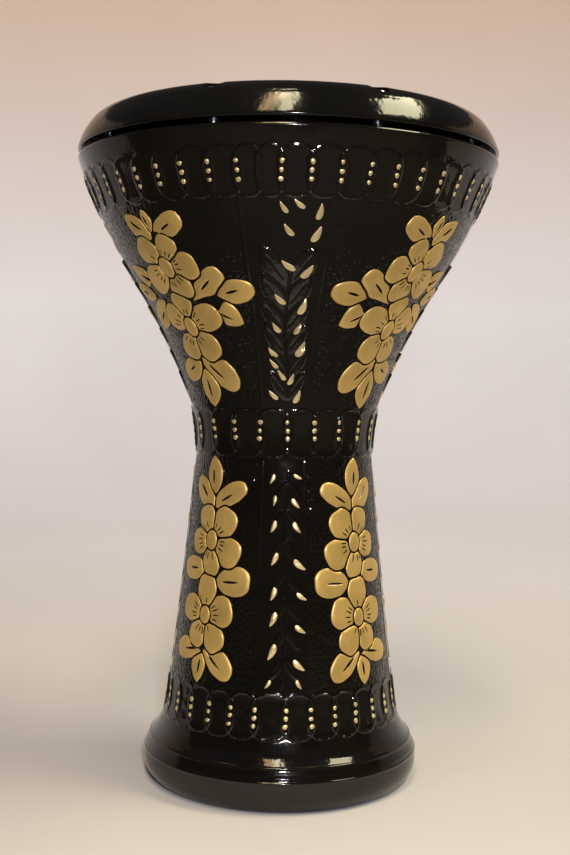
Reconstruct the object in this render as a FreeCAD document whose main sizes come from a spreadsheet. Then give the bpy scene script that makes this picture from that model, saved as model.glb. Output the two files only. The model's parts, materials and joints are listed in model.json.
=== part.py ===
"""Goblet drum (darbuka) in cast aluminium, with a plastic head held by a bolted tension ring.

Millimetres and degrees. +Z is the drum's axis, up. The origin is the middle of the foot's flat
underside. The front is -Y, and the bolts are counted from it, anticlockwise seen from above.
"""
import FreeCAD, Part
import math
import os

import Sketcher

SHEET_ROWS = (
    # Shell: outside, from the foot to the rim.
    ("foot_inner_radius", 78.5, "inner edge of the flat ring that the drum stands on"),
    ("foot_edge_radius", 84.5, "outer edge of the flat ring that the drum stands on"),
    ("foot_radius", 91.3, "widest radius of the foot bead"),
    ("foot_widest_height", 13.0, "height of the widest point of the foot bead"),
    ("foot_under_arc", 15.8, "arc radius below the widest point"),
    ("foot_bead_arc", 41.6, "arc radius above the widest point"),
    ("bead_top_radius", 90.2, "radius where the bead ends"),
    ("bead_top_height", 22.5, "height where the bead ends"),
    ("shoulder_radius", 89.0, "radius where the foot's shoulder starts"),
    ("shoulder_height", 24.6, "height where the foot's shoulder starts"),
    ("shoulder_arc", 20.0, "convex arc radius of the shoulder"),
    ("ankle_radius", 84.2, "radius where the shoulder turns into the neck's fillet"),
    ("ankle_height", 31.0, "height where the shoulder turns into the neck's fillet"),
    ("ankle_arc", 27.0, "concave arc radius between foot and neck"),
    ("neck_foot_radius", 77.0, "neck radius just above the foot"),
    ("neck_foot_height", 46.0, "height of the neck's lower end"),
    ("neck_arc", 4000.0, "slightly hollow line of the neck"),
    ("waist_radius", 58.8, "smallest radius of the neck"),
    ("waist_height", 214.0, "height of the smallest radius"),
    ("waist_arc", 134.0, "hollow arc radius across the waist band"),
    ("bowl_foot_radius", 64.1, "radius at the bottom of the bowl"),
    ("bowl_foot_height", 253.0, "height of the bottom of the bowl"),
    ("bowl_low_arc", 379.0, "hollow arc radius of the lower bowl"),
    ("bowl_mid_radius", 102.0, "radius where the bowl turns from hollow to full"),
    ("bowl_mid_height", 330.0, "height where the bowl turns from hollow to full"),
    ("bowl_high_arc", 380.0, "full arc radius of the upper bowl"),
    ("rim_radius", 138.0, "radius under the rim's rounded edge"),
    ("rim_low_height", 404.8, "height under the rim's rounded edge"),
    ("rim_edge", 2.2, "rounding of the rim's outer edge"),
    ("rim_height", 407.0, "height of the flat top of the rim"),
    # Shell: inside.
    ("wall", 5.0, "wall thickness of the casting"),
    ("foot_inner_height", 20.0, "height of the kink inside the foot"),
    ("foot_inner_step", 1.5, "how much wider the inside is at that kink"),
    ("flange", 7.0, "thickness of the rim's flange"),
    ("collar_inner_radius", 105.4, "inside of the upright collar"),
    ("collar_outer_radius", 110.6, "outside of the upright collar"),
    ("bearing_height", 429.0, "top of the collar, where the head bears"),
    ("bearing_round", 2.9, "outer rounding of the bearing edge"),
    ("bearing_round_inner", 2.3, "inner rounding of the bearing edge"),
    # Cast bosses for the tension bolts.
    ("bolt_count", 8, "number of tension bolts"),
    ("bolt_phase", 24.5, "angle of the first bolt from the front"),
    ("bolt_circle", 122.5, "radius of the bolt circle"),
    ("boss_radius", 7.0, "radius of each boss"),
    ("boss_low_height", 388.0, "underside of the bosses"),
    ("tapped_radius", 3.06, "radius of the tapped holes"),
    # Tension ring.
    ("ring_low_height", 409.9, "underside of the tension ring"),
    ("ring_bore", 117.0, "inside of the ring below its lip, where the hoop sits"),
    ("ring_under_radius", 136.9, "outer edge of the ring's flat underside"),
    ("ring_radius", 138.2, "largest radius of the ring"),
    ("ring_widest_height", 411.3, "height of the largest radius"),
    ("ring_edge_arc", 1.6, "arc radius of the ring's lower edge"),
    ("ring_side_arc", 37.0, "arc radius of the ring's side"),
    ("ring_brow_height", 425.0, "height where the side meets the brow"),
    ("ring_brow_arc", 18.5, "arc radius of the brow, up to the highest line"),
    ("total_height", 433.7, "height of the highest line"),
    ("lip_arc", 2.6, "rounding from the highest line to the lip"),
    ("lip_radius", 113.6, "inside of the ring's lip"),
    ("lip_low_height", 420.0, "underside of the lip, which presses on the hoop"),
    ("pocket_radius", 6.75, "radius of the pockets for the bolt heads"),
    ("pocket_floor", 422.2, "height of the pockets' floor"),
    ("pocket_margin", 1.0, "how far above the ring the cut for a pocket starts"),
    ("bolt_clearance_radius", 3.3, "radius of the holes in the ring"),
    # Head film and hoop.
    ("film", 0.25, "thickness of the head film"),
    ("film_radius", 112.85, "outside of the film's skirt"),
    ("film_bend", 3.35, "outer bend radius of the film over the bearing edge"),
    ("film_low_height", 414.7, "lower edge of the film's skirt"),
    ("hoop_inner_radius", 111.1, "inside of the hoop"),
    ("hoop_inner_wall", 1.0, "thickness of the hoop's inner wall"),
    ("hoop_channel_radius", 113.9, "outside of the hoop's channel"),
    ("hoop_radius", 116.6, "outside of the hoop"),
    ("hoop_low_height", 411.7, "underside of the hoop"),
    ("hoop_floor", 1.2, "thickness of the floor of the channel"),
    ("hoop_inner_top", 418.7, "top of the hoop's inner wall"),
    ("hoop_gap", 0.05, "gap between the hoop and the lip that presses on it"),
    # Bolts and washers.
    ("shank_radius", 3.0, "radius of the bolt's thread"),
    ("shank_length", 35.0, "length of the bolt under its head"),
    ("shank_chamfer", 0.8, "chamfer at the bolt's tip"),
    ("head_radius", 5.0, "radius of the bolt's head"),
    ("head_height", 6.0, "height of the bolt's head"),
    ("head_chamfer", 0.5, "chamfer on the head's top edge"),
    ("socket_width", 5.0, "width across the flats of the hex socket"),
    ("socket_depth", 3.0, "depth of the hex socket"),
    ("washer_radius", 6.0, "outside of the washer"),
    ("washer_bore", 3.2, "inside of the washer"),
    ("washer_height", 1.2, "thickness of the washer"),
)

ORIGIN_POINT = (-1, 1)
FULL_TURN = 360.0
HEX_SIDES = 6

doc = FreeCAD.newDocument("darbuka")


def fill_sheet():
    """Write every driving dimension to the spreadsheet: name, value and what it is."""
    sheet = doc.addObject("Spreadsheet::Sheet", "Sizes")
    for row, (name, value, meaning) in enumerate(SHEET_ROWS, start=1):
        sheet.set("A%d" % row, name)
        sheet.set("B%d" % row, str(value))
        sheet.setAlias("B%d" % row, name)
        sheet.set("C%d" % row, meaning)
    doc.recompute()
    return sheet


sizes = fill_sheet()


def number(expression):
    """The value of an expression in the spreadsheet's names."""
    return float(sizes.evalExpression(expression))


def origin_plane(body, role):
    """The body's own origin plane with this role."""
    return [feature for feature in body.Origin.OriginFeatures if feature.Role == role][0]


def new_body(label):
    """An empty body."""
    body = doc.addObject("PartDesign::Body", label + "_body")
    body.Label = label
    return body


def new_sketch(body, name, role, height=None):
    """A sketch on one of the body's origin planes, lifted to a height if one is given."""
    sketch = body.newObject("Sketcher::SketchObject", name)
    sketch.AttachmentSupport = [(origin_plane(body, role), "")]
    sketch.MapMode = "FlatFace"
    if height is not None:
        sketch.setExpression("AttachmentOffset.Base.z", height)
    return sketch


def bind(sketch, constraint, expression):
    """Add a constraint whose value is an expression in the spreadsheet's names."""
    index = sketch.addConstraint(constraint)
    sketch.setExpression("Constraints[%d]" % index, expression)


def arc_edge(start, end, radius, side):
    """An arc from start to end, and whether it runs backwards. side is +1 to bulge to the right."""
    chord = end - start
    across = FreeCAD.Vector(-chord.y, chord.x, 0).normalize()
    rise = math.sqrt(radius ** 2 - (chord.Length / 2) ** 2)
    centre = start + chord * 0.5 + across * (rise * side)
    first, last = (start, end) if side > 0 else (end, start)
    angles = [math.atan2(point.y - centre.y, point.x - centre.x) for point in (first, last)]
    circle = Part.Circle(centre, FreeCAD.Vector(0, 0, 1), radius)
    return Part.ArcOfCircle(circle, angles[0], angles[1]), side < 0


def outline(sketch, corners):
    """Draw a closed outline. Each corner is (across, up, arc): two expressions, or None on an axis,

    and the edge that leaves it: None for a straight one, or (radius expression, side) for an arc.
    """
    places = [FreeCAD.Vector(number(across) if across else 0, number(up) if up else 0, 0)
              for across, up, _ in corners]
    ends = []
    for index, (_, _, arc) in enumerate(corners):
        start = places[index]
        end = places[(index + 1) % len(places)]
        if arc is None:
            edge, backwards = Part.LineSegment(start, end), False
        else:
            edge, backwards = arc_edge(start, end, number(arc[0]), arc[1])
        geometry = sketch.addGeometry(edge, False)
        ends.append((geometry, 2, 1) if backwards else (geometry, 1, 2))
    for index, (across, up, arc) in enumerate(corners):
        geometry, first, _ = ends[index]
        before, _, last = ends[index - 1]
        sketch.addConstraint(Sketcher.Constraint("Coincident", before, last, geometry, first))
        if across is None:
            sketch.addConstraint(Sketcher.Constraint("PointOnObject", geometry, first, -2))
        else:
            bind(sketch, Sketcher.Constraint("DistanceX", *ORIGIN_POINT, geometry, first,
                                             places[index].x), across)
        if up is None:
            sketch.addConstraint(Sketcher.Constraint("PointOnObject", geometry, first, -1))
        else:
            bind(sketch, Sketcher.Constraint("DistanceY", *ORIGIN_POINT, geometry, first,
                                             places[index].y), up)
        if arc is not None:
            bind(sketch, Sketcher.Constraint("Radius", geometry, number(arc[0])), arc[0])


def circle_at(sketch, radius, distance, angle):
    """A circle whose centre is at a distance from the origin, in a direction in degrees."""
    reach = number(distance)
    turn = math.radians(number(angle))
    centre = FreeCAD.Vector(reach * math.cos(turn), reach * math.sin(turn), 0)
    circle = sketch.addGeometry(Part.Circle(centre, FreeCAD.Vector(0, 0, 1), number(radius)), False)
    bind(sketch, Sketcher.Constraint("Radius", circle, number(radius)), radius)
    bind(sketch, Sketcher.Constraint("DistanceX", *ORIGIN_POINT, circle, 3, centre.x),
         "%s * cos(%s)" % (distance, angle))
    bind(sketch, Sketcher.Constraint("DistanceY", *ORIGIN_POINT, circle, 3, centre.y),
         "%s * sin(%s)" % (distance, angle))


def revolve(body, name, corners):
    """Turn a closed outline about the body's Z axis."""
    sketch = new_sketch(body, name + "_outline", "XZ_Plane")
    outline(sketch, corners)
    turned = body.newObject("PartDesign::Revolution", name)
    turned.Profile = sketch
    turned.ReferenceAxis = (sketch, ["V_Axis"])
    turned.Angle = FULL_TURN
    doc.recompute()
    return turned


def around_axis(body, name, features):
    """Repeat features at every bolt, all round the Z axis."""
    pattern = body.newObject("PartDesign::PolarPattern", name)
    pattern.Originals = features
    pattern.Axis = (features[0].Profile[0], ["N_Axis"])
    pattern.Angle = FULL_TURN
    pattern.setExpression("Occurrences", "Sizes.bolt_count")
    body.Tip = pattern
    doc.recompute()
    return pattern


def round_pocket(body, name, height, radius, depth):
    """A round hole at the first bolt, cut down from a height."""
    sketch = new_sketch(body, name + "_circle", "XY_Plane", height)
    circle_at(sketch, radius, "Sizes.bolt_circle", "Sizes.bolt_phase - 90")
    before = body.Shape.Volume
    pocket = body.newObject("PartDesign::Pocket", name)
    pocket.Profile = sketch
    pocket.setExpression("Length", depth)
    doc.recompute()
    assert body.Shape.Volume < before - 1.0, name + " cuts nothing"
    return pocket


def make_shell():
    """The one-piece casting: hollow foot, neck, bowl, flanged rim and the collar for the head."""
    body = new_body("shell")
    corners = (
        ("Sizes.foot_inner_radius", None, None),
        ("Sizes.foot_edge_radius", None, ("Sizes.foot_under_arc", 1)),
        ("Sizes.foot_radius", "Sizes.foot_widest_height", ("Sizes.foot_bead_arc", 1)),
        ("Sizes.bead_top_radius", "Sizes.bead_top_height", None),
        ("Sizes.shoulder_radius", "Sizes.shoulder_height", ("Sizes.shoulder_arc", 1)),
        ("Sizes.ankle_radius", "Sizes.ankle_height", ("Sizes.ankle_arc", -1)),
        ("Sizes.neck_foot_radius", "Sizes.neck_foot_height", ("Sizes.neck_arc", -1)),
        ("Sizes.waist_radius", "Sizes.waist_height", ("Sizes.waist_arc", -1)),
        ("Sizes.bowl_foot_radius", "Sizes.bowl_foot_height", ("Sizes.bowl_low_arc", -1)),
        ("Sizes.bowl_mid_radius", "Sizes.bowl_mid_height", ("Sizes.bowl_high_arc", 1)),
        ("Sizes.rim_radius", "Sizes.rim_low_height", ("Sizes.rim_edge", 1)),
        ("Sizes.rim_radius - Sizes.rim_edge", "Sizes.rim_height", None),
        ("Sizes.collar_outer_radius", "Sizes.rim_height", None),
        ("Sizes.collar_outer_radius", "Sizes.bearing_height - Sizes.bearing_round",
         ("Sizes.bearing_round", 1)),
        ("Sizes.collar_inner_radius + Sizes.bearing_round_inner", "Sizes.bearing_height",
         ("Sizes.bearing_round_inner", 1)),
        ("Sizes.collar_inner_radius", "Sizes.bearing_height - Sizes.bearing_round_inner", None),
        ("Sizes.collar_inner_radius", "Sizes.rim_height - Sizes.flange", None),
        ("Sizes.rim_radius - 1.5 * Sizes.wall", "Sizes.rim_height - Sizes.flange",
         ("Sizes.bowl_high_arc - Sizes.wall", -1)),
        ("Sizes.bowl_mid_radius - 1.18 * Sizes.wall", "Sizes.bowl_mid_height",
         ("Sizes.bowl_low_arc + Sizes.wall", 1)),
        ("Sizes.bowl_foot_radius - 1.04 * Sizes.wall", "Sizes.bowl_foot_height",
         ("Sizes.waist_arc + Sizes.wall", 1)),
        ("Sizes.waist_radius - Sizes.wall", "Sizes.waist_height",
         ("Sizes.neck_arc + Sizes.wall", 1)),
        ("Sizes.neck_foot_radius - Sizes.wall", "Sizes.neck_foot_height", None),
        ("Sizes.foot_inner_radius + Sizes.foot_inner_step", "Sizes.foot_inner_height", None),
    )
    revolve(body, "shell_casting", corners)
    boss_sketch = new_sketch(body, "boss_circle", "XY_Plane", "Sizes.boss_low_height")
    circle_at(boss_sketch, "Sizes.boss_radius", "Sizes.bolt_circle", "Sizes.bolt_phase - 90")
    boss = body.newObject("PartDesign::Pad", "boss")
    boss.Profile = boss_sketch
    boss.setExpression("Length", "Sizes.rim_height - Sizes.flange / 2 - Sizes.boss_low_height")
    doc.recompute()
    around_axis(body, "bosses", [boss])
    tapped = round_pocket(body, "tapped_hole", "Sizes.rim_height", "Sizes.tapped_radius",
                          "Sizes.rim_height - Sizes.boss_low_height")
    around_axis(body, "tapped_holes", [tapped])
    return body


def make_ring():
    """The rounded tension ring, with a pocket and a hole for each bolt."""
    body = new_body("tension_ring")
    brow_rise = "(Sizes.ring_brow_height - Sizes.total_height + Sizes.ring_brow_arc)"
    brow_radius = ("Sizes.lip_radius + Sizes.lip_arc + sqrt(Sizes.ring_brow_arc ^ 2 - %s ^ 2)"
                   % brow_rise)
    corners = (
        ("Sizes.ring_bore", "Sizes.ring_low_height", None),
        ("Sizes.ring_under_radius", "Sizes.ring_low_height", ("Sizes.ring_edge_arc", 1)),
        ("Sizes.ring_radius", "Sizes.ring_widest_height", ("Sizes.ring_side_arc", 1)),
        (brow_radius, "Sizes.ring_brow_height", ("Sizes.ring_brow_arc", 1)),
        ("Sizes.lip_radius + Sizes.lip_arc", "Sizes.total_height", ("Sizes.lip_arc", 1)),
        ("Sizes.lip_radius", "Sizes.total_height - Sizes.lip_arc", None),
        ("Sizes.lip_radius", "Sizes.lip_low_height", None),
        ("Sizes.ring_bore", "Sizes.lip_low_height", None),
    )
    revolve(body, "ring_casting", corners)
    pocket_top = "Sizes.total_height + Sizes.pocket_margin"
    pocket = round_pocket(body, "head_pocket", pocket_top, "Sizes.pocket_radius",
                          pocket_top + " - Sizes.pocket_floor")
    around_axis(body, "head_pockets", [pocket])
    hole = round_pocket(body, "bolt_hole", "Sizes.pocket_floor", "Sizes.bolt_clearance_radius",
                        "Sizes.pocket_floor - Sizes.ring_low_height")
    around_axis(body, "bolt_holes", [hole])
    return body


def make_film():
    """The plastic head: flat on the bearing edge, with a skirt down into the hoop."""
    body = new_body("head_film")
    corners = (
        (None, "Sizes.bearing_height", None),
        ("Sizes.film_radius - Sizes.film_bend", "Sizes.bearing_height",
         ("Sizes.film_bend - Sizes.film", -1)),
        ("Sizes.film_radius - Sizes.film",
         "Sizes.bearing_height + Sizes.film - Sizes.film_bend", None),
        ("Sizes.film_radius - Sizes.film", "Sizes.film_low_height", None),
        ("Sizes.film_radius", "Sizes.film_low_height", None),
        ("Sizes.film_radius", "Sizes.bearing_height + Sizes.film - Sizes.film_bend",
         ("Sizes.film_bend", 1)),
        ("Sizes.film_radius - Sizes.film_bend", "Sizes.bearing_height + Sizes.film", None),
        (None, "Sizes.bearing_height + Sizes.film", None),
    )
    revolve(body, "film_sheet", corners)
    return body


def make_hoop():
    """The aluminium hoop: a channel that holds the film's edge."""
    body = new_body("head_hoop")
    channel_inner = "Sizes.hoop_inner_radius + Sizes.hoop_inner_wall"
    channel_floor = "Sizes.hoop_low_height + Sizes.hoop_floor"
    outer_top = "Sizes.lip_low_height - Sizes.hoop_gap"
    corners = (
        ("Sizes.hoop_inner_radius", "Sizes.hoop_low_height", None),
        ("Sizes.hoop_radius", "Sizes.hoop_low_height", None),
        ("Sizes.hoop_radius", outer_top, None),
        ("Sizes.hoop_channel_radius", outer_top, None),
        ("Sizes.hoop_channel_radius", channel_floor, None),
        (channel_inner, channel_floor, None),
        (channel_inner, "Sizes.hoop_inner_top", None),
        ("Sizes.hoop_inner_radius", "Sizes.hoop_inner_top", None),
    )
    revolve(body, "hoop_channel", corners)
    return body


def place_at_bolt(part, index, height):
    """Bind a part's placement to one place on the bolt circle."""
    angle = "(Sizes.bolt_phase - 90 + %d * 360 / Sizes.bolt_count)" % index
    part.setExpression("Placement.Base.x", "Sizes.bolt_circle * cos(%s)" % angle)
    part.setExpression("Placement.Base.y", "Sizes.bolt_circle * sin(%s)" % angle)
    part.setExpression("Placement.Base.z", height)


def hexagon(sketch, width):
    """A regular hexagon about the sketch's origin, with a width across its flats."""
    corner_reach = number(width) / math.sqrt(3)
    corner_angles = [math.tau * side / HEX_SIDES for side in range(HEX_SIDES)]
    corners = [FreeCAD.Vector(math.cos(angle), math.sin(angle), 0) * corner_reach
               for angle in corner_angles]
    for side in range(HEX_SIDES):
        sketch.addGeometry(Part.LineSegment(corners[side - 1], corners[side]), False)
    guide = sketch.addGeometry(
        Part.Circle(FreeCAD.Vector(0, 0, 0), FreeCAD.Vector(0, 0, 1), corner_reach), True)
    sketch.addConstraint(Sketcher.Constraint("Coincident", guide, 3, *ORIGIN_POINT))
    bind(sketch, Sketcher.Constraint("Radius", guide, corner_reach), "%s / sqrt(3)" % width)
    for side in range(HEX_SIDES):
        following = (side + 1) % HEX_SIDES
        sketch.addConstraint(Sketcher.Constraint("Coincident", side, 2, following, 1))
        sketch.addConstraint(Sketcher.Constraint("PointOnObject", side, 2, guide))
        if side:
            sketch.addConstraint(Sketcher.Constraint("Equal", 0, side))
    sketch.addConstraint(Sketcher.Constraint("PointOnObject", 0, 2, -1))


def make_bolt(index):
    """A socket head cap screw. Its own origin is on its axis, under its head."""
    body = new_body("tension_bolt_%d" % (index + 1))
    corners = (
        (None, "-Sizes.shank_length", None),
        ("Sizes.shank_radius - Sizes.shank_chamfer", "-Sizes.shank_length", None),
        ("Sizes.shank_radius", "Sizes.shank_chamfer - Sizes.shank_length", None),
        ("Sizes.shank_radius", None, None),
        ("Sizes.head_radius", None, None),
        ("Sizes.head_radius", "Sizes.head_height - Sizes.head_chamfer", None),
        ("Sizes.head_radius - Sizes.head_chamfer", "Sizes.head_height", None),
        (None, "Sizes.head_height", None),
    )
    revolve(body, "bolt_blank_%d" % index, corners)
    sketch = new_sketch(body, "socket_hexagon_%d" % index, "XY_Plane", "Sizes.head_height")
    hexagon(sketch, "Sizes.socket_width")
    before = body.Shape.Volume
    socket = body.newObject("PartDesign::Pocket", "socket_%d" % index)
    socket.Profile = sketch
    socket.setExpression("Length", "Sizes.socket_depth")
    doc.recompute()
    assert body.Shape.Volume < before - 1.0, "the hex socket cuts nothing"
    place_at_bolt(body, index, "Sizes.pocket_floor + Sizes.washer_height")
    return body


def make_washer(index):
    """A flat steel washer under a bolt's head."""
    plate = doc.addObject("Part::Cylinder", "washer_plate_%d" % index)
    plate.setExpression("Radius", "Sizes.washer_radius")
    plate.setExpression("Height", "Sizes.washer_height")
    bore = doc.addObject("Part::Cylinder", "washer_bore_%d" % index)
    bore.setExpression("Radius", "Sizes.washer_bore")
    bore.setExpression("Height", "Sizes.washer_height")
    washer = doc.addObject("Part::Cut", "washer_%d" % index)
    washer.Base = plate
    washer.Tool = bore
    washer.Label = "tension_washer_%d" % (index + 1)
    place_at_bolt(washer, index, "Sizes.pocket_floor")
    return washer


def check(parts):
    """Stop if anything in the document failed, or a part's shape isn't one valid solid."""
    for item in doc.Objects:
        failed = {"Invalid", "Error"}.intersection(item.State)
        assert not failed, "%s is %s" % (item.Name, ", ".join(failed))
    for part in parts:
        assert not part.Shape.isNull(), part.Label + " has no shape"
        assert part.Shape.isValid(), part.Label + " isn't valid"
        assert len(part.Shape.Solids) == 1, part.Label + " isn't one solid"


def main():
    """Build every part, check them and write one STEP file for each."""
    os.makedirs("parts", exist_ok=True)
    bolt_places = range(int(number("Sizes.bolt_count")))
    parts = [make_shell(), make_ring(), make_film(), make_hoop()]
    parts += [make_bolt(index) for index in bolt_places]
    parts += [make_washer(index) for index in bolt_places]
    doc.recompute()
    check(parts)
    for part in parts:
        part.Shape.exportStep("parts/%s.step" % part.Label)
        box = part.Shape.optimalBoundingBox()
        print("%-18s %9.1f mm3  z %.2f to %.2f" % (part.Label, part.Shape.Volume, box.ZMin, box.ZMax))


main()
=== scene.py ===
"""Looks of the goblet drum: cast relief, gold flower sprays, paint, screws, floor, lights, camera.

Sizes below are in millimetres in the CAD frame unless a name ends in _M. Angles are in degrees,
counted from the front (-Y), and positive to the right as seen from the front.
"""

import json
import math
import random

import bmesh
import bpy
import numpy as np
from mathutils import Matrix, Vector

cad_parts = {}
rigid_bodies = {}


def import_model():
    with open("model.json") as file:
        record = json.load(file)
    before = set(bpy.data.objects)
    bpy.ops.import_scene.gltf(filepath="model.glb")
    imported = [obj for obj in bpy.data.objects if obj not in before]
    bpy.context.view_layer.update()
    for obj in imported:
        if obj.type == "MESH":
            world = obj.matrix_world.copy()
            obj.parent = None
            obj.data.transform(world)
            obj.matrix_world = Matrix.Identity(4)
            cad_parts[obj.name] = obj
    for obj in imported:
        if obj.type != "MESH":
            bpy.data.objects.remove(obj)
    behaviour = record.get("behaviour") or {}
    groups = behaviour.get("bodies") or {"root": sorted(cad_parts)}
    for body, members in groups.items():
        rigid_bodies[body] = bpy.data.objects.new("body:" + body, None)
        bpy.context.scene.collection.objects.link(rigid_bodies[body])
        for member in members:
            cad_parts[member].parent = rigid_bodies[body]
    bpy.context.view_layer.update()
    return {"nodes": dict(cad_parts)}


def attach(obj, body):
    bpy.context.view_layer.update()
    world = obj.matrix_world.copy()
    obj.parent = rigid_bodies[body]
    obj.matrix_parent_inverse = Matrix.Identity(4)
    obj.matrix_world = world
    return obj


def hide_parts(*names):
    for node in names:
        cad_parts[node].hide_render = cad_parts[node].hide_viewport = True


MM = 0.001
BOLTS = 8
BOLT_CIRCLE = 122.5
BOLT_PHASE = 24.5
TAPPED_RADIUS = 3.06
CLEARANCE_RADIUS = 3.3
POCKET_RADIUS = 6.75
POCKET_FLOOR = 422.2
HEAD_SEAT = 423.4
THREAD_PITCH = 1.0

# Outlines of the casting and the ring. Each corner: radius, height, arc to the next corner (0 is
# straight), and +1 for a full arc or -1 for a hollow one. The same shapes as in the CAD source.
OUTSIDE = (
    (84.5, 0.0, 15.8, 1),
    (91.3, 13.0, 41.6, 1),
    (90.2, 22.5, 0, 0),
    (89.0, 24.6, 20.0, 1),
    (84.2, 31.0, 27.0, -1),
    (77.0, 46.0, 4000.0, -1),
    (58.8, 214.0, 134.0, -1),
    (64.1, 253.0, 379.0, -1),
    (102.0, 330.0, 380.0, 1),
    (138.0, 404.8, 2.2, 1),
    (135.8, 407.0, 0, 0),
)
INSIDE = (
    (131.0, 407.0, 0, 0),
    (131.0, 400.0, 375.0, -1),
    (96.1, 330.0, 384.0, 1),
    (58.9, 253.0, 139.0, 1),
    (53.8, 214.0, 4005.0, 1),
    (72.0, 46.0, 0, 0),
    (80.0, 20.0, 0, 0),
    (78.5, 0.0, 0, 0),
)
RIM_FLANGE = (
    (131.0, 407.0, 0, 0),
    (131.0, 400.0, 0, 0),
    (105.4, 400.0, 0, 0),
    (105.4, 426.7, 2.3, 1),
    (107.7, 429.0, 2.9, 1),
    (110.6, 426.1, 0, 0),
    (110.6, 407.0, 0, 0),
)
RING = (
    (117.0, 409.9, 0, 0),
    (136.9, 409.9, 1.6, 1),
    (138.2, 411.3, 37.0, 1),
    (131.89, 425.0, 18.5, 1),
    (116.2, 433.7, 2.6, 1),
    (113.6, 431.1, 0, 0),
    (113.6, 420.0, 0, 0),
    (117.0, 420.0, 0, 0),
)

# Decorated bands: middle height, half height, dotted columns, angle of the first of them, how wide
# the seam before it is in degrees, ovals across that seam, dot spacing, and the step from the
# band's middle to the middle dot.
BANDS = {
    "bowl": (381.0, 15.0, 47, -1.6, 11.2, 2, 5.2, 0.8),
    "waist": (230.6, 15.6, 22, 2.0, 16.4, 1, 5.2, 1.7),
    "foot": (56.0, 14.5, 30, 2.8, 14.9, 1, 5.0, -0.6),
}
BAND_RISE = 0.8
FOOT_BEADS = (19.8, 27.8)
FOOT_TOP = 36.0
DECORATION_TOP = 399.0
PLAIN_PANELS = (0.0, 90.0, 180.0, 270.0)
PANEL_HALF = 13.2
DROP_HEIGHTS = {"bowl": 310.0, "neck": 140.0}

# One spray of leaves and petals. Each: base x, y and tip x, y, half widths left and right of its
# axis, where it is widest (0 base, 1 tip), shape of the tip, and a leaf's slit from and to.
ROUND, BLUNT, POINTED = 0.5, 0.36, 0.8
UPPER_SPRAY = (
    (0, 41, -3, 57, 3.5, 4.5, 0.5, POINTED, (0.3, 0.8)),
    (-1, 39, -22, 55, 8, 6, 0.48, POINTED, (0.35, 0.75)),
    (-2, 38, 26, 51, 7, 7.5, 0.62, BLUNT, (0.4, 0.7)),
    (-2, 25, -20, 36, 9, 8.5, 0.6, BLUNT, None),
    (2, 24, 9, 40, 7, 9.5, 0.6, BLUNT, None),
    (5, 18, 25, 20, 9.5, 9, 0.6, BLUNT, None),
    (2, 14, 8, -3, 9.5, 9.5, 0.52, BLUNT, None),
    (-3, 18, -21, 6, 9, 11, 0.58, BLUNT, None),
    (-7, 2, -42, 23, 7.5, 6, 0.5, POINTED, (0.35, 0.7)),
    (-27, 0, -50, 10, 6, 5, 0.5, ROUND, (0.3, 0.6)),
    (-16, -4, -35, -20, 7, 9.5, 0.55, ROUND, (0.35, 0.7)),
    (11, -4, 38, 16, 6.5, 8, 0.66, BLUNT, (0.35, 0.68)),
    (30, -1, 55, 5, 7, 8.5, 0.5, ROUND, (0.25, 0.6)),
    (12, -5, 40, -20, 11, 6.5, 0.6, POINTED, (0.4, 0.8)),
    (0, -15, -2, 3, 8, 9, 0.55, BLUNT, None),
    (-3, -19, -20, -9, 9, 8.5, 0.5, BLUNT, None),
    (4, -20, 26, -13, 10, 8.5, 0.52, BLUNT, None),
    (3, -26, 14, -43, 9.5, 9, 0.55, BLUNT, None),
    (-3, -26, -8, -43, 8, 9, 0.55, BLUNT, None),
    (-2, -45, -22, -54, 8, 7.5, 0.5, BLUNT, (0.3, 0.6)),
    (1, -42, 22, -64, 11, 7, 0.55, ROUND, (0.2, 0.65)),
    (0, -50, 1, -75, 8, 7, 0.5, POINTED, (0.25, 0.75)),
)
UPPER_FLOWERS = ((0, 19, 5.2, 7.0, 18, range(3, 8)), (0, -21.5, 4.8, 6.6, 18, range(14, 19)))
LOWER_SPRAY = (
    (0, 51, -3, 75, 6, 7, 0.5, POINTED, (0.25, 0.65)),
    (1, 42, -18, 61, 8.5, 6, 0.5, ROUND, (0.35, 0.75)),
    (1, 43, 24, 57, 7.5, 6, 0.55, BLUNT, (0.25, 0.6)),
    (-2, 26, -7, 43, 8, 7, 0.6, BLUNT, None),
    (5, 25, 14, 42, 8.5, 10, 0.55, BLUNT, None),
    (5, 19, 23, 11, 9.5, 9.5, 0.6, BLUNT, None),
    (1, 16, 3, -2, 7.5, 7.5, 0.42, ROUND, None),
    (-3, 20, -19, 21, 9, 7.5, 0.5, BLUNT, None),
    (-3, 3, -28, 1, 7.5, 7.5, 0.5, BLUNT, (0.25, 0.6)),
    (8, -4, 32, -3, 10, 9, 0.6, BLUNT, (0.2, 0.68)),
    (2, -21, 0, 0, 9, 7.5, 0.5, BLUNT, None),
    (-3, -24, -23, -23, 8.5, 9, 0.52, BLUNT, None),
    (4, -25, 22, -21, 10.5, 10, 0.5, BLUNT, None),
    (-2, -30, -7, -47, 7, 8.5, 0.55, BLUNT, None),
    (3, -32, 13, -48, 9.5, 7, 0.55, BLUNT, None),
    (2, -47, -27, -52, 6.5, 8, 0.6, BLUNT, (0.15, 0.6)),
    (1, -50, -1, -69, 4.5, 7.5, 0.38, POINTED, (0.2, 0.7)),
    (2, -46, 24, -64, 9.5, 6, 0.58, ROUND, (0.2, 0.7)),
)
LOWER_FLOWERS = ((0.5, 21.5, 4.6, 6.2, 4, range(3, 8)), (0.5, -26, 4.4, 5.6, 4, range(10, 15)))
SPRAY_HEIGHTS = {"upper": 315.0, "lower": 140.0}
# Centre angle of each upper and lower spray, and whether they are turned over left to right.
SPRAY_PLACES = (
    (-45.0, -45.0, False), (50.0, 45.5, True), (135.0, 135.0, False), (-135.0, -135.0, True),
)

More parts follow.
